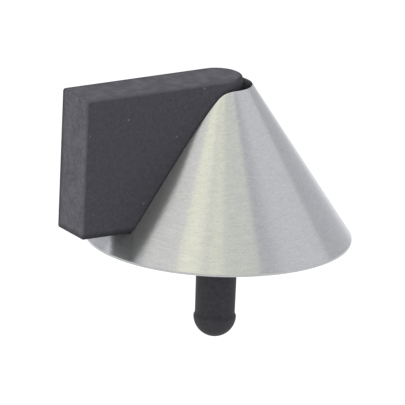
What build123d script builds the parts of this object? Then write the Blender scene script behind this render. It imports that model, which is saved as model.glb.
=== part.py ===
from build123d import *
import os
from math import cos, radians, sin

# Floor-mounted door stop. Sizes are in millimetres and degrees.
# The floor is the plane z = 0, the plug and the cone share the Z axis, and the rubber block points along -Y.

# Rubber block, a straight-sided buffer with a half-round nose over the stud
block_thickness = 9.2
block_height = 27.1
block_reach = 32.2            # axis of the cone to the impact face
nose_offset = 1.3             # centre of the round nose, in front of the cone's axis
block_edge_radius = 0.5
block_top_radius = 0.8        # round the top face

# Cone cover, spun from one sheet and opened from above by a round hole and a slot
rim_radius = 25.0
rim_land = 0.45               # height of the straight band turned on the rim
cone_height = 30.2
sheet_thickness = 1.5         # measured square to the wall
top_land = 0.25               # flat ring left round the top hole
nose_gap = 0.35               # top hole to nose, all round
slot_gap = 0.2                # slot to block, on each side and below

# Base plate, pressed up into the rim, and the pad bonded under it
plate_thickness = 1.5
pad_hole_radius = 8.0
pad_edge_gap = 0.3            # pad to the cone's wall

# Stud, a hanger bolt with its nuts and washers
stud_radius = 2.5
machine_pitch = 0.8
machine_depth = 0.49
machine_crest = 0.2           # flat on top of each ridge
coarse_pitch = 2.2
coarse_depth = 0.7
coarse_flank = 0.5            # length of one sloping side of the coarse thread
point_length = 3.0
shank_length = 2.0            # plain stretch between the two threads
stud_grip = 8.5               # length of stud inside the nose
stud_end_gap = 0.6            # beyond each end of the stud
nut_sides = 6
nut_across_flats = 8.0
nut_chamfer_angle = 30.0
upper_nut_height = 4.0
lower_nut_height = 2.7
nut_floor_gap = 0.5           # floor to the lower nut
hole_gap = 0.1                # stud to a clearance hole
washer_radius = 5.0
washer_thickness = 1.0
spring_washer_radius = 4.6
spring_washer_thickness = 1.2
spring_split = 0.8
spring_split_angle = 25.0
heel_gap = 0.6                # rubber to the nut and the washers

# Floor plug
plug_radius = 3.8
plug_lip_radius = 4.0
plug_lip_height = 0.6         # length of the flare above the lip
plug_depth = 15.5             # floor to the centre of the round end
plug_bore_depth = 16.4
plug_mouth = 0.4              # countersink at the top of the bore
turning_gap = 0.05            # stud to the plug's bore

# Levels and radii that follow
nose_radius = block_thickness / 2
top_hole_radius = nose_radius + nose_gap
cone_top_radius = top_hole_radius + top_land
cone_slope = (rim_radius - cone_top_radius) / (cone_height - rim_land)
wall_width = sheet_thickness * (1 + cone_slope**2) ** 0.5
plate_bottom = nut_floor_gap + lower_nut_height
plate_top = plate_bottom + plate_thickness
spring_washer_bottom = plate_top + washer_thickness
upper_nut_bottom = spring_washer_bottom + spring_washer_thickness
upper_nut_top = upper_nut_bottom + upper_nut_height
heel_top = upper_nut_top + heel_gap
stud_top = heel_top + stud_grip
stud_bottom = stud_end_gap - plug_bore_depth
block_top = plate_top + block_height
slot_half_width = nose_radius + slot_gap
slot_bottom = plate_top - slot_gap
nut_corner_radius = nut_across_flats / 2 / cos(radians(180 / nut_sides))


def cone_outside(z):
    """Outside radius of the cone's wall at a height."""
    return rim_radius - cone_slope * (z - rim_land)


def cone_inside(z):
    return cone_outside(z) - wall_width


def turned(points):
    """Solid of revolution about Z, from (radius, height) corners."""
    outline = Polyline([(radius, 0, height) for radius, height in points], close=True)
    return revolve(make_face(outline), axis=Axis.Z)


def ring(outer, inner, bottom, height):
    return turned([(inner, bottom), (outer, bottom), (outer, bottom + height), (inner, bottom + height)])


def hex_nut(bottom, height):
    """Hex nut with both ends chamfered, bored to the crest of the stud's thread."""
    hexagon = RegularPolygon(nut_across_flats / 2, nut_sides, major_radius=False)
    body = Pos(0, 0, bottom) * extrude(hexagon, height)
    face_radius = nut_across_flats / 2
    chamfer_height = (nut_corner_radius - face_radius) * sin(radians(nut_chamfer_angle))
    top = bottom + height
    blank = turned([
        (stud_radius, bottom),
        (face_radius, bottom),
        (nut_corner_radius, bottom + chamfer_height),
        (nut_corner_radius, top - chamfer_height),
        (face_radius, top),
        (stud_radius, top),
    ])
    return body & blank


def block_outline(half_width, nose):
    """Plan of the block: a straight-sided strip that ends in a half-round nose."""
    strip = Pos(0, -(block_reach + nose_offset) / 2) * Rectangle(2 * half_width, block_reach - nose_offset)
    return strip + Pos(0, -nose_offset) * Circle(nose)


def rubber_block():
    body = Pos(0, 0, plate_top) * extrude(block_outline(nose_radius, nose_radius), block_height)
    top = body.faces().sort_by(Axis.Z)[-1]
    body = fillet(top.edges(), block_top_radius)
    front = body.edges().filter_by(Axis.Z).sort_by(Axis.Y)[:2]
    underside = body.faces().sort_by(Axis.Z)[0]
    body = fillet(underside.edges() + front, block_edge_radius)
    heel_depth = max(washer_radius, nut_corner_radius) + heel_gap
    heel_height = heel_top - plate_top
    heel_length = 2 * heel_depth
    heel = Pos(0, 0, plate_top + heel_height / 2) * Box(block_thickness, heel_length, heel_height)
    bore_height = stud_grip + stud_end_gap
    bore = Pos(0, 0, heel_top + bore_height / 2) * Cylinder(stud_radius, bore_height)
    return body - heel - bore


def cone_cover():
    shell = turned([
        (cone_inside(0), 0),
        (rim_radius, 0),
        (rim_radius, rim_land),
        (cone_top_radius, cone_height),
        (cone_inside(cone_height), cone_height),
    ])
    hole = Pos(0, 0, cone_height / 2) * Cylinder(top_hole_radius, cone_height)
    slot_height = cone_height - slot_bottom + sheet_thickness
    slot_length = rim_radius + sheet_thickness
    slot = Box(2 * slot_half_width, slot_length, slot_height)
    slot = fillet(slot.edges().filter_by(Axis.Y).group_by(Axis.Z)[0], block_edge_radius + slot_gap)
    slot = Pos(0, -slot_length / 2, slot_bottom + slot_height / 2) * slot
    return shell - hole - slot


def base_plate():
    return turned([
        (stud_radius + hole_gap, plate_bottom),
        (cone_inside(plate_bottom), plate_bottom),
        (cone_inside(plate_top), plate_top),
        (stud_radius + hole_gap, plate_top),
    ])


def base_pad():
    """Flat ring between the plate and the floor, with room for the lower nut."""
    return turned([
        (pad_hole_radius, 0),
        (cone_inside(0) - pad_edge_gap, 0),
        (cone_inside(plate_bottom) - pad_edge_gap, plate_bottom),
        (pad_hole_radius, plate_bottom),
    ])


def coarse_thread(top, bottom):
    """Corners of the coarse thread, as rings, from the top down."""
    core = stud_radius - coarse_depth
    count = int((top - bottom) / coarse_pitch)
    corners = []
    for turn in range(count):
        start = top - turn * coarse_pitch
        corners += [
            (stud_radius, start),
            (core, start - coarse_flank),
            (core, start - coarse_pitch + coarse_flank),
            (stud_radius, start - coarse_pitch + coarse_flank / 2),
        ]
    return corners


def machine_thread(bottom, top):
    """Corners of the machine thread, as rings, from the bottom up."""
    flank = (machine_pitch - machine_crest) / 2
    count = int((top - bottom) / machine_pitch)
    corners = []
    for turn in range(count):
        start = bottom + turn * machine_pitch
        corners += [
            (stud_radius, start),
            (stud_radius - machine_depth, start + flank),
            (stud_radius, start + 2 * flank),
        ]
    return corners


def stud():
    shank_top = shank_length / 2
    point_top = stud_bottom + point_length
    lower = coarse_thread(-shank_top, point_top)
    upper = machine_thread(shank_top, stud_top - machine_depth)
    corners = [(0, stud_top), (stud_radius - machine_depth, stud_top)]
    corners += [(stud_radius, stud_top - machine_depth)]
    corners += list(reversed(upper))
    corners += lower
    corners += [(stud_radius - coarse_depth, point_top), (0, stud_bottom)]
    return turned(corners)


def plain_washer():
    return ring(washer_radius, stud_radius + hole_gap, plate_top, washer_thickness)


def spring_washer():
    """Split washer, pressed flat."""
    hole = stud_radius + hole_gap
    washer = ring(spring_washer_radius, hole, spring_washer_bottom, spring_washer_thickness)
    split = Rot(0, spring_split_angle, 0) * Box(spring_split, spring_washer_radius, spring_washer_radius)
    middle = spring_washer_bottom + spring_washer_thickness / 2
    return washer - Pos(0, (spring_washer_radius + stud_radius) / 2, middle) * split


def floor_plug():
    """Closed sleeve with a lip above its round end."""
    bore = stud_radius + turning_gap
    lip_level = -plug_depth
    flare_level = lip_level + plug_lip_height
    tip = (0, 0, lip_level - plug_lip_radius)
    halfway = radians(45)
    wall = Polyline(
        (0, 0, -plug_bore_depth),
        (bore, 0, -plug_bore_depth),
        (bore, 0, -plug_mouth),
        (bore + plug_mouth, 0, 0),
        (plug_radius, 0, 0),
        (plug_radius, 0, flare_level),
        (plug_lip_radius, 0, lip_level),
    )
    middle = (plug_lip_radius * cos(halfway), 0, lip_level - plug_lip_radius * sin(halfway))
    nose = ThreePointArc((plug_lip_radius, 0, lip_level), middle, tip)
    axis = Line(tip, (0, 0, -plug_bore_depth))
    return revolve(make_face([wall, nose, axis]), axis=Axis.Z)


pieces = {
    "cone_cover": cone_cover(),
    "rubber_block": rubber_block(),
    "base_plate": base_plate(),
    "base_pad": base_pad(),
    "stud": stud(),
    "lower_nut": hex_nut(nut_floor_gap, lower_nut_height),
    "plain_washer": plain_washer(),
    "spring_washer": spring_washer(),
    "upper_nut": hex_nut(upper_nut_bottom, upper_nut_height),
    "floor_plug": floor_plug(),
}

os.makedirs("parts", exist_ok=True)
for name, shape in pieces.items():
    export_step(shape, f"parts/{name}.step")
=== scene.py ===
import math

import bmesh
import bpy
from mathutils import Matrix, Vector


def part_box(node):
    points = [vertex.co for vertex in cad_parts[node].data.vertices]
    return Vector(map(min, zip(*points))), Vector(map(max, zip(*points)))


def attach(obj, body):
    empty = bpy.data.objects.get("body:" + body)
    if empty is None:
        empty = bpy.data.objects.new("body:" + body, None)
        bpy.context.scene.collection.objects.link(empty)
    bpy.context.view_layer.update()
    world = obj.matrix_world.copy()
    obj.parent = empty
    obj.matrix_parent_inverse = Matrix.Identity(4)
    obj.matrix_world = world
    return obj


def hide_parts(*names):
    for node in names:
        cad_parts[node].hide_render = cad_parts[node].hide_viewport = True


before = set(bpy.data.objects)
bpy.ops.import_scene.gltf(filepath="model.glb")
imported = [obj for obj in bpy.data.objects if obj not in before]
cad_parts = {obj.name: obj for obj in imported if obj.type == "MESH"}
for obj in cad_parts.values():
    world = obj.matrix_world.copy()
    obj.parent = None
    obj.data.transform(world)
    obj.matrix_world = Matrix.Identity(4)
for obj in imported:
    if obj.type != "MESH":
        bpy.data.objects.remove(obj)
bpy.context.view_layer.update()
print("frame loaded:", len(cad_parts), "nodes")

# Everything is in metres. The plug's axis is Z, the floor level is z = 0 and the block points along -Y.
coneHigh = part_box("cone_cover")[1]
blockLow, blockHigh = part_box("rubber_block")
plugLow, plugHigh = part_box("floor_plug")


# Shader maths: a socket that takes part in Python expressions
class Signal:
    def __init__(self, finish, socket):
        self.finish = finish
        self.socket = socket

    def maths(self, operation, *terms):
        return self.finish.node("ShaderNodeMath", {"operation": operation}, dict(enumerate(terms)))

    def __add__(self, other):
        return self.maths("ADD", self, other)

    def __radd__(self, other):
        return self.maths("ADD", other, self)

    def __sub__(self, other):
        return self.maths("SUBTRACT", self, other)

    def __rsub__(self, other):
        return self.maths("SUBTRACT", other, self)

    def __mul__(self, other):
        return self.maths("MULTIPLY", self, other)

    def __rmul__(self, other):
        return self.maths("MULTIPLY", other, self)

    def __truediv__(self, other):
        return self.maths("DIVIDE", self, other)

    def __rtruediv__(self, other):
        return self.maths("DIVIDE", other, self)

    def __pow__(self, other):
        return self.maths("POWER", self, other)

    def __rpow__(self, other):
        return self.maths("POWER", other, self)

    def atLeast(self, other):
        return self.maths("MAXIMUM", self, other)


# One material, built node by node
class Finish:
    def __init__(self, name):
        self.material = bpy.data.materials.new(name)
        self.material.use_nodes = True
        self.tree = self.material.node_tree
        self.tree.nodes.clear()

    def node(self, kind, settings=None, inputs=None, output=0):
        made = self.tree.nodes.new(kind)
        for key, value in (settings or {}).items():
            if key == "stops":
                self.setStops(made.color_ramp, value)
            else:
                setattr(made, key, value)
        for key, value in (inputs or {}).items():
            if isinstance(value, Signal):
                self.tree.links.new(value.socket, made.inputs[key])
            else:
                made.inputs[key].default_value = value
        return Signal(self, made.outputs[output]) if made.outputs else None

    def setStops(self, ramp, stops):
        while len(ramp.elements) < len(stops):
            ramp.elements.new(1.0)
        for element, (place, level) in zip(ramp.elements, stops):
            element.position = place
            element.color = (level, level, level, 1.0)

    def place(self):
        return self.node("ShaderNodeTexCoord", output="Object")

    def axes(self, vector):
        split = self.tree.nodes.new("ShaderNodeSeparateXYZ")
        self.tree.links.new(vector.socket, split.inputs[0])
        return [Signal(self, end) for end in split.outputs]

    def joined(self, x, y, z):
        return self.node("ShaderNodeCombineXYZ", None, {"X": x, "Y": y, "Z": z})

    def noise(self, vector, scale, detail=2.0, roughness=0.5):
        sockets = {"Vector": vector, "Scale": scale, "Detail": detail, "Roughness": roughness}
        return self.node("ShaderNodeTexNoise", None, sockets, "Fac")

    def ramp(self, value, stops):
        return self.node("ShaderNodeValToRGB", {"stops": stops}, {"Fac": value}, "Color")

    def mixed(self, factor, first, second):
        made = self.tree.nodes.new("ShaderNodeMix")
        made.data_type = "RGBA"
        self.tree.links.new(factor.socket, made.inputs["Factor"])
        colours = [end for end in made.inputs if end.type == "RGBA"]
        for end, value in zip(colours, (first, second)):
            if isinstance(value, Signal):
                self.tree.links.new(value.socket, end)
            else:
                end.default_value = (*value, 1.0)
        return Signal(self, [end for end in made.outputs if end.type == "RGBA"][0])

    def bump(self, height, distance):
        sockets = {"Height": height, "Distance": distance, "Strength": 1.0}
        return self.node("ShaderNodeBump", None, sockets)

    def close(self, sockets):
        surface = self.node("ShaderNodeBsdfPrincipled", None, sockets)
        self.node("ShaderNodeOutputMaterial", None, {"Surface": surface})
        return self.material


# The brushed side of the cover. Scales are in repeats per metre, or per radian round the axis
steelFinish = {
    "dark": (0.385, 0.388, 0.394),
    "pale": (0.472, 0.476, 0.482),
    "broadRound": 9.0,
    "broadAlong": 2600.0,
    "fineRound": 40.0,
    "fineAlong": 5200.0,
    "grainScale": 4200.0,
    "cloudScale": 160.0,
    "metallic": 0.86,
    "roughness": 0.17,
    "anisotropic": 0.75,
    "bump": 0.000014,
}


def brushedSteel():
    finish = Finish("brushedSteel")
    tones = steelFinish
    x, y, z = finish.axes(finish.place())
    radius = (x * x + y * y) ** 0.5
    around, across = x / radius, y / radius

    def strokes(perRound, along, detail):
        stretched = finish.joined(around * perRound, across * perRound, z * along)
        return finish.noise(stretched, 1.0, detail, 0.6)

    broad = strokes(tones["broadRound"], tones["broadAlong"], 3.0)
    fine = strokes(tones["fineRound"], tones["fineAlong"], 2.0)
    grain = finish.noise(finish.place(), tones["grainScale"], 2.0, 0.6)
    cloud = finish.noise(finish.place(), tones["cloudScale"], 2.0)
    brushing = broad * 0.35 + fine * 0.4 + grain * 0.25
    shade = finish.ramp(brushing, [(0.36, 0.0), (0.64, 1.0)])
    return finish.close({
        "Base Color": finish.mixed(shade, tones["dark"], tones["pale"]),
        "Metallic": tones["metallic"],
        "Roughness": brushing * 0.07 + cloud * 0.03 + tones["roughness"],
        "Anisotropic": tones["anisotropic"],
        "Anisotropic Rotation": 0.25,
        "Normal": finish.bump(brushing, tones["bump"]),
    })


# The inside of the cover, which was never brushed, painted near-black: painted shade
dullFinishWithPaintedShade = {
    "dark": (0.035, 0.035, 0.037),
    "pale": (0.06, 0.06, 0.063),
    "patchScale": 420.0,
    "metallic": 0.6,
    "roughness": 0.6,
    "bump": 0.00002,
}


def dullSteelWithPaintedShade():
    finish = Finish("dullSteelWithPaintedShade")
    tones = dullFinishWithPaintedShade
    patches = finish.noise(finish.place(), tones["patchScale"], 3.0, 0.6)
    return finish.close({
        "Base Color": finish.mixed(patches, tones["dark"], tones["pale"]),
        "Metallic": tones["metallic"],
        "Roughness": patches * 0.15 + tones["roughness"],
        "Normal": finish.bump(patches, tones["bump"]),
    })


rubberFinish = {
    "dark": (0.033, 0.0325, 0.041),
    "pale": (0.056, 0.055, 0.068),
    # colour of the painted light on the top and the impact face
    "lighterPatches": (0.112, 0.110, 0.128),
    "dust": (0.17, 0.17, 0.185),
    # paler colour for the near side's edges
    "nearEdgeColour": (0.08, 0.079, 0.093),
    # colour of the painted shade on the far edges, round the nose, below and along the foot
    "paintedShade": (0.004, 0.004, 0.005),
    "paintedShadeReach": 0.0014,  # in from the far edges and the foot
    "patchScale": 1100.0,
    "grainScale": 3800.0,
    "cloudScale": 480.0,
    "dustScale": 300.0,
    "roughness": 0.5,
    "specular": 0.2,
    "bump": 0.00005,
}


def blackRubber():
    finish = Finish("blackRubber")
    tones = rubberFinish
    place = finish.place()
    x, _, z = finish.axes(place)
    nx, ny, nz = finish.axes(finish.node("ShaderNodeTexCoord", output="Normal"))
    ahead, behind = (0.0 - ny).atLeast(0.0), ny.atLeast(0.0)
    nearSide, farSide = nx.atLeast(0.0), (0.0 - nx).atLeast(0.0)
    above, below = nz.atLeast(0.0), (0.0 - nz).atLeast(0.0)
    patches = finish.noise(place, tones["patchScale"], 4.0, 0.65)
    grain = finish.noise(place, tones["grainScale"], 3.0, 0.6)
    mottle = finish.ramp(patches * 0.4 + grain * 0.6, [(0.36, 0.0), (0.64, 1.0)])
    colour = finish.mixed(mottle, tones["dark"], tones["pale"])

    # Painted light: the top and the impact face painted paler, in blotches, where the light falls on them;
    # and a few specks of dust
    haze = finish.noise(place, tones["cloudScale"], 5.0, 0.75)
    clouds = finish.ramp(haze, [(0.42, 0.0), (0.60, 1.0)])
    lighterPatches = above * clouds * 0.42 + ahead * (clouds * 0.35 + mottle * 0.65)
    paintedLitFaces = finish.mixed(lighterPatches, colour, tones["lighterPatches"])
    sockets = {"Vector": place, "Scale": tones["dustScale"]}
    specks = finish.node("ShaderNodeTexVoronoi", None, sockets, "Distance")
    dusted = finish.mixed(finish.ramp(specks, [(0.02, 0.8), (0.07, 0.0)]), paintedLitFaces, tones["dust"])

    # Edges paler on the near side only: the product of two parts of the normal is greatest on a rounding
    paleNearEdges = (above + ahead) * nearSide * 2.0
    paled = finish.mixed(finish.ramp(paleNearEdges, [(0.1, 0.0), (1.0, 0.6)]), dusted, tones["nearEdgeColour"])

    # Painted shade on the other edges, round the nose and along the foot
    paintedShadeEdges = (above * farSide + ahead * farSide + above * behind + below * nearSide + below * ahead) * 2.0
    shaded = finish.mixed(finish.ramp(paintedShadeEdges + behind, [(0.15, 0.0), (0.9, 0.6)]), paled, tones["paintedShade"])
    fade = [(0.3, 0.6), (1.0, 0.0)]
    # Painted shade also in from the far edges and along the foot
    farEdgeShade = finish.ramp((x - blockLow.x) / tones["paintedShadeReach"], fade) * above.atLeast(ahead)
    footShade = finish.ramp((z - blockLow.z) / tones["paintedShadeReach"], fade)
    return finish.close({
        "Base Color": finish.mixed(farEdgeShade.atLeast(footShade), shaded, tones["paintedShade"]),
        "Roughness": mottle * 0.15 + paintedShadeEdges * 0.2 + tones["roughness"],
        "Specular IOR Level": tones["specular"],
        "Normal": finish.bump(grain * 0.6 + patches * 0.4, tones["bump"]),
    })


plasticFinish = {
    "dark": (0.021, 0.0205, 0.025),
    "pale": (0.046, 0.045, 0.053),
    # colour of the painted shade below
    "underside": (0.008, 0.008, 0.010),  # where the round end points down
    "patchScale": 1300.0,
    "grainScale": 4200.0,
    "roughness": 0.6,
    "specular": 0.22,
    "bump": 0.00005,
}


def plugPlastic():
    finish = Finish("plugPlastic")
    tones = plasticFinish
    place = finish.place()
    upward = finish.axes(finish.node("ShaderNodeTexCoord", output="Normal"))[2]
    patches = finish.noise(place, tones["patchScale"], 4.0, 0.65)
    grain = finish.noise(place, tones["grainScale"], 2.0)
    mottle = finish.ramp(patches * 0.6 + grain * 0.4, [(0.36, 0.0), (0.66, 1.0)])
    colour = finish.mixed(mottle, tones["dark"], tones["pale"])
    # Painted shade, darker where the surface points down
    downwardShade = finish.ramp(0.0 - upward, [(0.1, 0.0), (0.9, 0.8)])
    return finish.close({
        "Base Color": finish.mixed(downwardShade, colour, tones["underside"]),
        "Roughness": mottle * 0.15 + tones["roughness"],
        "Specular IOR Level": tones["specular"],
        "Normal": finish.bump(grain * 0.5 + patches * 0.5, tones["bump"]),
    })


zincFinish = {
    "dark": (0.46, 0.47, 0.49),
    "pale": (0.66, 0.66, 0.64),
    "bloomScale": 420.0,
    "scuffScale": 2400.0,
    "roughness": 0.22,
    "bump": 0.00001,
}


def zincSteel():
    finish = Finish("zincSteel")
    tones = zincFinish
    place = finish.place()
    lighterPatches = finish.noise(place, tones["bloomScale"], 4.0, 0.65)
    scuffs = finish.noise(place, tones["scuffScale"], 2.0)
    return finish.close({
        "Base Color": finish.mixed(lighterPatches, tones["dark"], tones["pale"]),
        "Metallic": 1.0,
        "Roughness": lighterPatches * 0.25 + scuffs * 0.1 + tones["roughness"],
        "Normal": finish.bump(scuffs + lighterPatches, tones["bump"]),
    })


padFinish = {
    "dark": (0.02, 0.02, 0.021),
    "pale": (0.045, 0.045, 0.046),
    "cellScale": 2200.0,
    "patchScale": 350.0,
    "roughness": 0.75,
    "bump": 0.00012,
}


def padRubber():
    finish = Finish("padRubber")
    tones = padFinish
    place = finish.place()
    sockets = {"Vector": place, "Scale": tones["cellScale"]}
    cells = finish.node("ShaderNodeTexVoronoi", None, sockets, "Distance")
    patches = finish.noise(place, tones["patchScale"], 3.0)
    return finish.close({
        "Base Color": finish.mixed(patches, tones["dark"], tones["pale"]),
        "Roughness": patches * 0.15 + tones["roughness"],
        "Normal": finish.bump(cells, tones["bump"]),
    })


def finished(name, shape, material, body, replaced):
    mesh = bpy.data.meshes.new(name)
    shape.to_mesh(mesh)
    shape.free()
    mesh.materials.append(material)
    piece = bpy.data.objects.new(name, mesh)
    bpy.context.scene.collection.objects.link(piece)
    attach(piece, body)
    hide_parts(replaced)
    return piece


# Smooth shading, except over edges sharper than the angle, in degrees
def shadeSmooth(shape, angle):
    for face in shape.faces:
        face.smooth = True
    for edge in shape.edges:
        edge.smooth = edge.calc_face_angle(0) < math.radians(angle)


def softMax(a, b, width):
    share = max(width - abs(a - b), 0.0) / width
    return max(a, b) + share * share * width / 4


def softMin(a, b, width):
    return -softMax(-a, -b, width)


# The cone cover, spun and then opened by a keyhole
coverSizes = {
    "wall": 0.0015,
    "rimBand": 0.00045,
    "topLand": 0.00025,
    "holeGap": 0.00035,  # nose to top hole
    "slotGap": 0.0002,  # block to slot
    "cornerBlend": 0.0012,  # how softly the slot runs into the top hole
    "footBlend": 0.0026,  # and into its own lower edge
    "lipRound": 0.00014,
    "rimRound": 0.0001,
    "roundSteps": 4,
    "columns": 720,
    "rows": 20,
    "leastSideways": 0.02,  # keeps the slot's width finite straight ahead
    "closed": 0.000002,  # rows nearer than this are merged
    "smoothAngle": 30,
}


def coverPiece():
    sizes = coverSizes
    rim = coneHigh.x
    band = sizes["rimBand"]
    nose = (blockHigh.x - blockLow.x) / 2
    hole = nose + sizes["holeGap"]
    slotHalf = nose + sizes["slotGap"]
    slope = (rim - hole - sizes["topLand"]) / (coneHigh.z - band)
    wallWidth = sizes["wall"] * math.hypot(1, slope)
    wallDrop = wallWidth / slope
    innerRim = rim + band * slope - wallWidth
    foot = rim - (blockLow.z - sizes["slotGap"] - band) * slope
    lip = sizes["lipRound"]
    rimRound = sizes["rimRound"]
    steps = [step / sizes["roundSteps"] * math.pi / 2 for step in range(sizes["roundSteps"] + 1)]
    rows = [step / sizes["rows"] for step in range(1, sizes["rows"])]
    innerRow = 3 * len(steps) + len(rows)  # the last row of the lip, where the inside starts

    def onOutside(radius):
        return radius, band + (rim - radius) / slope

    def onInside(radius):
        return radius, band + (rim - radius) / slope - wallDrop

    def mouth(sideways, lowest, setback, lowerEdge):
        slot = (slotHalf + setback) / max(sideways, sizes["leastSideways"])
        opened = softMax(lowest + setback, slot, sizes["cornerBlend"])
        return softMin(opened, lowerEdge, sizes["footBlend"])

    # One section of the wall, where sideways is 0 straight ahead and 1 at the side or behind
    def section(sideways):
        def outer(setback):
            return mouth(sideways, hole + sizes["topLand"], setback, foot)

        def inner(setback):
            return mouth(sideways, hole, setback, foot - wallWidth)

        drop = lip * min(1, max(0, (foot - outer(0)) / sizes["footBlend"]))
        points = []
        for a in steps:
            points.append((rim - rimRound + rimRound * math.sin(a), rimRound - rimRound * math.cos(a)))
        points.append((rim, band))
        points += [onOutside(rim + (outer(lip) - rim) * row) for row in rows]
        for a in steps:
            radius, height = onOutside(outer(lip - lip * math.sin(a)))
            points.append((radius, height - drop + drop * math.cos(a)))
        for a in steps:
            radius, height = onInside(inner(lip - lip * math.cos(a)))
            points.append((radius, height + drop - drop * math.sin(a)))
        points += [onInside(inner(lip) + (innerRim - inner(lip)) * row) for row in rows]
        for a in steps:
            points.append((innerRim + rimRound - rimRound * math.cos(a), rimRound - rimRound * math.sin(a)))
        return points

    shape = bmesh.new()
    rowOf = shape.verts.layers.int.new("row")
    corners = []
    for index, (radius, height) in enumerate(section(1)):
        corner = shape.verts.new((0, radius, height))
        corner[rowOf] = index
        corners.append(corner)
    edges = [shape.edges.new(pair) for pair in zip(corners, corners[1:] + corners[:1])]
    bmesh.ops.spin(
        shape, geom=corners + edges, cent=(0, 0, 0), axis=(0, 0, 1),
        angle=2 * math.pi, steps=sizes["columns"], use_merge=True,
    )
    bmesh.ops.remove_doubles(shape, verts=shape.verts, dist=sizes["closed"] / 2)

    # The keyhole: every column keeps its rows, and they close up towards the rim where the slot is
    sections = {}
    for vertex in shape.verts:
        heading = vertex.co.to_2d().normalized()
        sideways = abs(heading.x) if heading.y < 0 else 1
        key = round(sideways, 6)
        if key not in sections:
            sections[key] = section(sideways)
        radius, height = sections[key][vertex[rowOf]]
        vertex.co = (heading.x * radius, heading.y * radius, height)
    for face in shape.faces:
        face.material_index = int(min(vertex[rowOf] for vertex in face.verts) >= innerRow)
    shape.verts.layers.int.remove(rowOf)
    bmesh.ops.remove_doubles(shape, verts=shape.verts, dist=sizes["closed"])
    bmesh.ops.dissolve_degenerate(shape, dist=sizes["closed"] / 2, edges=shape.edges)
    bmesh.ops.recalc_face_normals(shape, faces=shape.faces)
    shadeSmooth(shape, sizes["smoothAngle"])
    piece = finished("coverShell", shape, steel, "stop", "cone_cover")
    piece.data.materials.append(insideSteel)
    return piece


# The rubber block: straight sides, a half-round nose, and a heel cut away over the nuts
blockSizes = {
    "noseOffset": 0.0013,
    "heelLength": 0.0056,
    "heelTop": 0.0115,
    "boreRadius": 0.0025,
    "boreHeight": 0.0091,
    "topRound": 0.00055,
    "otherRound": 0.65,  # of the top's rounding
    "roundSteps": 5,
    "noseSteps": 40,
    "smoothAngle": 30,
    "flatAngle": 0.5,  # faces meeting at less than this are joined
    "tiny": 0.000001,
}


def blockPiece():
    sizes = blockSizes
    half = (blockHigh.x - blockLow.x) / 2
    heel = -sizes["heelLength"]
    level = sizes["heelTop"]
    shape = bmesh.new()

    # Plan at the heel's level: the foot's rectangle, then the nose's half circle
    plan = ((-half, blockLow.y), (half, blockLow.y), (half, heel), (-half, heel))
    front = [shape.verts.new((x, y, level)) for x, y in plan]
    nose = []
    for step in range(sizes["noseSteps"] + 1):
        angle = math.pi * step / sizes["noseSteps"]
        place = (half * math.cos(angle), half * math.sin(angle) - sizes["noseOffset"], level)
        nose.append(shape.verts.new(place))
    frontFace = shape.faces.new(front)
    outline = front[:3] + nose + front[3:]
    rest = outline[2:]
    pairs = zip(outline, outline[1:] + outline[:1])
    edges = [shape.edges.get(pair) or shape.edges.new(pair) for pair in pairs]
    crossing = shape.edges.get((front[2], front[3]))

    def newVerts(made):
        return [item for item in made["geom"] if isinstance(item, bmesh.types.BMVert)]

    def edgesAmong(made, verts):
        return [item for item in made["geom"] if isinstance(item, bmesh.types.BMEdge)
                and item.verts[0] in verts and item.verts[1] in verts]

    # Underside of the nose, with the stud's bore going up into it
    bore = bmesh.ops.create_circle(
        shape, segments=len(rest), radius=sizes["boreRadius"], matrix=Matrix.Translation((0, 0, level)),
    )["verts"]
    boreEdges = [edge for edge in shape.edges if edge.verts[0] in bore and edge.verts[1] in bore]
    noseLoop = [edge for edge in edges if edge.verts[0] in rest and edge.verts[1] in rest] + [crossing]
    bmesh.ops.bridge_loops(shape, edges=noseLoop + boreEdges)
    raised = bmesh.ops.extrude_edge_only(shape, edges=boreEdges)
    boreTop = newVerts(raised)
    bmesh.ops.translate(shape, verts=boreTop, vec=(0, 0, sizes["boreHeight"]))
    bmesh.ops.holes_fill(shape, edges=edgesAmong(raised, boreTop))

    # Sides and top, then the foot in front of the heel
    raised = bmesh.ops.extrude_edge_only(shape, edges=edges)
    topVerts = newVerts(raised)
    bmesh.ops.translate(shape, verts=topVerts, vec=(0, 0, blockHigh.z - level))
    bmesh.ops.holes_fill(shape, edges=edgesAmong(raised, topVerts))
    lowered = bmesh.ops.extrude_face_region(shape, geom=[frontFace])
    if frontFace.is_valid:
        bmesh.ops.delete(shape, geom=[frontFace], context="FACES_ONLY")
    bmesh.ops.translate(shape, verts=newVerts(lowered), vec=(0, 0, blockLow.z - level))
    bmesh.ops.remove_doubles(shape, verts=shape.verts, dist=sizes["tiny"] / 10)
    bmesh.ops.recalc_face_normals(shape, faces=shape.faces)
    flat = math.radians(sizes["flatAngle"])
    bmesh.ops.dissolve_limit(shape, angle_limit=flat, verts=shape.verts, edges=shape.edges)

    # Rounding: full on the top's edges, less on the foot's and on the impact face's upright ones
    weight = shape.edges.layers.float.new("bevel_weight_edge")
    for edge in shape.edges:
        first, second = edge.verts[0].co, edge.verts[1].co
        middle = (first + second) / 2
        onTop = min(first.z, second.z) > blockHigh.z - sizes["tiny"]
        onFoot = max(first.z, second.z) < blockLow.z + sizes["tiny"] and middle.y < heel - sizes["tiny"]
        upright = abs(first.z - second.z) > sizes["tiny"] and middle.y < blockLow.y + sizes["tiny"]
        if onTop:
            edge[weight] = 1
        elif onFoot or upright:
            edge[weight] = sizes["otherRound"]
    shadeSmooth(shape, sizes["smoothAngle"])
    piece = finished("rubberBuffer", shape, rubber, "stop", "rubber_block")
    rounding = piece.modifiers.new("rounding", "BEVEL")
    rounding.limit_method = "WEIGHT"
    rounding.width = sizes["topRound"]
    rounding.segments = sizes["roundSteps"]
    piece.modifiers.new("evenNormals", "WEIGHTED_NORMAL").keep_sharp = True
    return piece


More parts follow.
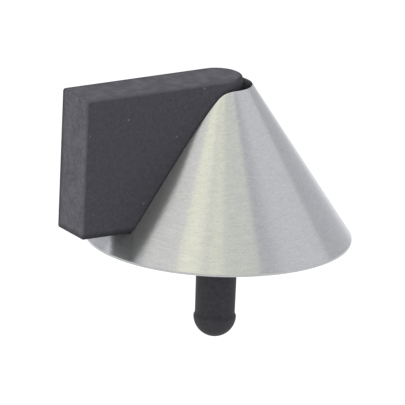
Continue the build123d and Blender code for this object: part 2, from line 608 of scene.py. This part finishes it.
# The floor plug: a sleeve with a lip above its round end
plugSizes = {
    "shank": 0.0038,
    "waist": 0.00006,  # how much the shank narrows above the lip
    "waistStart": 0.8,  # of the way down to the lip's flare
    "lipFlare": 0.00052,
    "lipBand": 0.00004,
    "bore": 0.00255,
    "boreDepth": 0.0164,
    "mouth": 0.0004,
    "mouthRound": 0.0001,
    "columns": 128,
    "noseSteps": 24,
    "smoothAngle": 35,
    "closed": 0.0000001,
}


def plugPiece():
    sizes = plugSizes
    lip = (plugHigh.x - plugLow.x) / 2
    lipLevel = plugLow.z + lip
    flareTop = lipLevel + sizes["lipFlare"]
    shank = sizes["shank"]
    profile = [
        (0, -sizes["boreDepth"]),
        (sizes["bore"], -sizes["boreDepth"]),
        (sizes["bore"], -sizes["mouth"]),
        (sizes["bore"] + sizes["mouth"], 0),
        (shank - sizes["mouthRound"], 0),
        (shank, -sizes["mouthRound"]),
        (shank, flareTop / 2),
        (shank - sizes["waist"] / 2, flareTop * sizes["waistStart"]),
        (shank - sizes["waist"], flareTop + sizes["lipFlare"]),
        (shank - sizes["waist"] / 2, flareTop),
        (lip, lipLevel + sizes["lipBand"]),
    ]
    for step in range(sizes["noseSteps"]):
        angle = math.pi / 2 * step / sizes["noseSteps"]
        profile.append((lip * math.cos(angle), lipLevel - lip * math.sin(angle)))
    profile.append((0, plugLow.z))

    shape = bmesh.new()
    corners = [shape.verts.new((radius, 0, height)) for radius, height in profile]
    edges = [shape.edges.new(pair) for pair in zip(corners, corners[1:])]
    bmesh.ops.spin(
        shape, geom=corners + edges, cent=(0, 0, 0), axis=(0, 0, 1),
        angle=2 * math.pi, steps=sizes["columns"], use_merge=True,
    )
    bmesh.ops.remove_doubles(shape, verts=shape.verts, dist=sizes["closed"])
    bmesh.ops.recalc_face_normals(shape, faces=shape.faces)
    shadeSmooth(shape, sizes["smoothAngle"])
    return finished("plugSleeve", shape, plastic, "plug", "floor_plug")


steel = brushedSteel()
insideSteel = dullSteelWithPaintedShade()
rubber = blackRubber()
plastic = plugPlastic()
zinc = zincSteel()
padding = padRubber()
print("materials made")

coverPiece()
blockPiece()
plugPiece()
print("cover, block and plug made")

# The pieces that keep the frame's own shapes
nodeFinishes = {
    "base_plate": zinc,
    "base_pad": padding,
    "stud": zinc,
    "lower_nut": zinc,
    "plain_washer": zinc,
    "spring_washer": zinc,
    "upper_nut": zinc,
}
for nodeName, material in nodeFinishes.items():
    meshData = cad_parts[nodeName].data
    meshData.materials.clear()
    meshData.materials.append(material)
print("finishes given to", len(nodeFinishes), "nodes")

# The floor is a pale sheet, far enough below for the plug to hang clear of it
floorSizes = {
    "drop": 0.25,
    "half": 4.0,
    "tiles": 8,
    "dark": (0.965, 0.96, 0.95),
    "pale": (0.98, 0.975, 0.965),
    "toneScale": 30.0,
    "glow": 0.2,
}


def floorPaper():
    finish = Finish("floorPaper")
    tone = finish.noise(finish.place(), floorSizes["toneScale"], 2.0)
    return finish.close({
        "Base Color": finish.mixed(tone, floorSizes["dark"], floorSizes["pale"]),
        "Roughness": 0.9,
        "Specular IOR Level": 0.1,
        "Emission Color": (1.0, 1.0, 1.0, 1.0),
        "Emission Strength": floorSizes["glow"],
    })


def floorPiece():
    tiles = floorSizes["tiles"]
    shape = bmesh.new()
    bmesh.ops.create_grid(shape, x_segments=tiles, y_segments=tiles, size=floorSizes["half"])
    bmesh.ops.translate(shape, verts=shape.verts, vec=(0, 0, plugLow.z - floorSizes["drop"]))
    mesh = bpy.data.meshes.new("floor")
    shape.to_mesh(mesh)
    shape.free()
    mesh.materials.append(floorPaper())
    floor = bpy.data.objects.new("floor", mesh)
    bpy.context.scene.collection.objects.link(floor)


def direction(azimuth, elevation):
    a, e = math.radians(azimuth), math.radians(elevation)
    return Vector((math.sin(a) * math.cos(e), -math.cos(a) * math.cos(e), math.sin(e)))


# Softboxes: degrees round from the camera (right is positive) and above the floor, size, glow and tint
softboxDistance = 0.6
softboxes = {
    "sideLeft": {
        "turn": -100, "rise": 34, "wide": 0.3, "high": 0.7, "glow": 0.5, "tint": (1.0, 1.0, 1.0),
    },
    "fillLeft": {
        "turn": -48, "rise": 46, "wide": 0.5, "high": 0.85, "glow": 0.53, "tint": (1.0, 0.985, 0.8),
    },
    "keyLeft": {
        "turn": -29, "rise": 48, "wide": 0.17, "high": 0.85, "glow": 0.42, "tint": (1.0, 0.96, 0.34),
    },
    "front": {
        "turn": 0, "rise": 48, "wide": 0.1, "high": 0.7, "glow": 0.26, "tint": (1.0, 0.96, 0.4),
    },
    "fillRight": {
        "turn": 16, "rise": 46, "wide": 0.45, "high": 0.85, "glow": 0.39, "tint": (0.98, 0.99, 0.62),
    },
    "sideRight": {
        "turn": 92, "rise": 44, "wide": 0.5, "high": 0.8, "glow": 0.33, "tint": (1.0, 0.98, 0.96),
    },
    "overhead": {
        "turn": 180, "rise": 80, "wide": 0.5, "high": 0.3, "glow": 1.2, "tint": (1.0, 1.0, 1.0),
    },
}


def softboxLight(name, sizes):
    lamp = bpy.data.lights.new(name, "AREA")
    lamp.shape = "RECTANGLE"
    lamp.size = sizes["wide"]
    lamp.size_y = sizes["high"]
    lamp.energy = sizes["glow"] * math.pi * sizes["wide"] * sizes["high"]
    lamp.color = sizes["tint"]
    holder = bpy.data.objects.new(name, lamp)
    towards = direction(pictureView["azimuth"] + sizes["turn"], sizes["rise"])
    holder.location = Vector((0, 0, coneHigh.z / 2)) + towards * softboxDistance
    holder.rotation_mode = "QUATERNION"
    holder.rotation_quaternion = towards.to_track_quat("Z", "Y")
    bpy.context.scene.collection.objects.link(holder)


room = {"tint": (0.965, 0.98, 1.03, 1.0), "strength": 0.85}


def roomLight():
    world = bpy.data.worlds.new("room")
    world.use_nodes = True
    backdrop = world.node_tree.nodes["Background"]
    backdrop.inputs["Color"].default_value = room["tint"]
    backdrop.inputs["Strength"].default_value = room["strength"]
    bpy.context.scene.world = world


# The camera looks past the middle of the cone's height, a little to the left of it and below
pictureView = {
    "azimuth": 58.57,  # degrees round from the impact face
    "elevation": 17.62,
    "roll": 2.25,
    "lens": 1500.0,
    "frameWidth": 0.0755,
    "right": -0.00342,
    "up": -0.00814,
}


def pictureCamera():
    view = pictureView
    lens = bpy.data.cameras.new("pictureCamera")
    lens.lens = view["lens"]
    camera = bpy.data.objects.new("pictureCamera", lens)
    back = direction(view["azimuth"], view["elevation"])
    roll = Matrix.Rotation(math.radians(view["roll"]), 4, "Z").to_quaternion()
    turn = back.to_track_quat("Z", "Y") @ roll
    aim = Vector((0, 0, coneHigh.z / 2)) + turn @ Vector((view["right"], view["up"], 0))
    camera.rotation_mode = "QUATERNION"
    camera.rotation_quaternion = turn
    camera.location = aim + back * view["frameWidth"] * lens.lens / lens.sensor_width
    bpy.context.scene.collection.objects.link(camera)
    bpy.context.scene.camera = camera


floorPiece()
for boxName, boxSizes in softboxes.items():
    softboxLight(boxName, boxSizes)
roomLight()
pictureCamera()
bpy.context.scene.view_settings.view_transform = "Standard"
print("stage, lights and camera set")
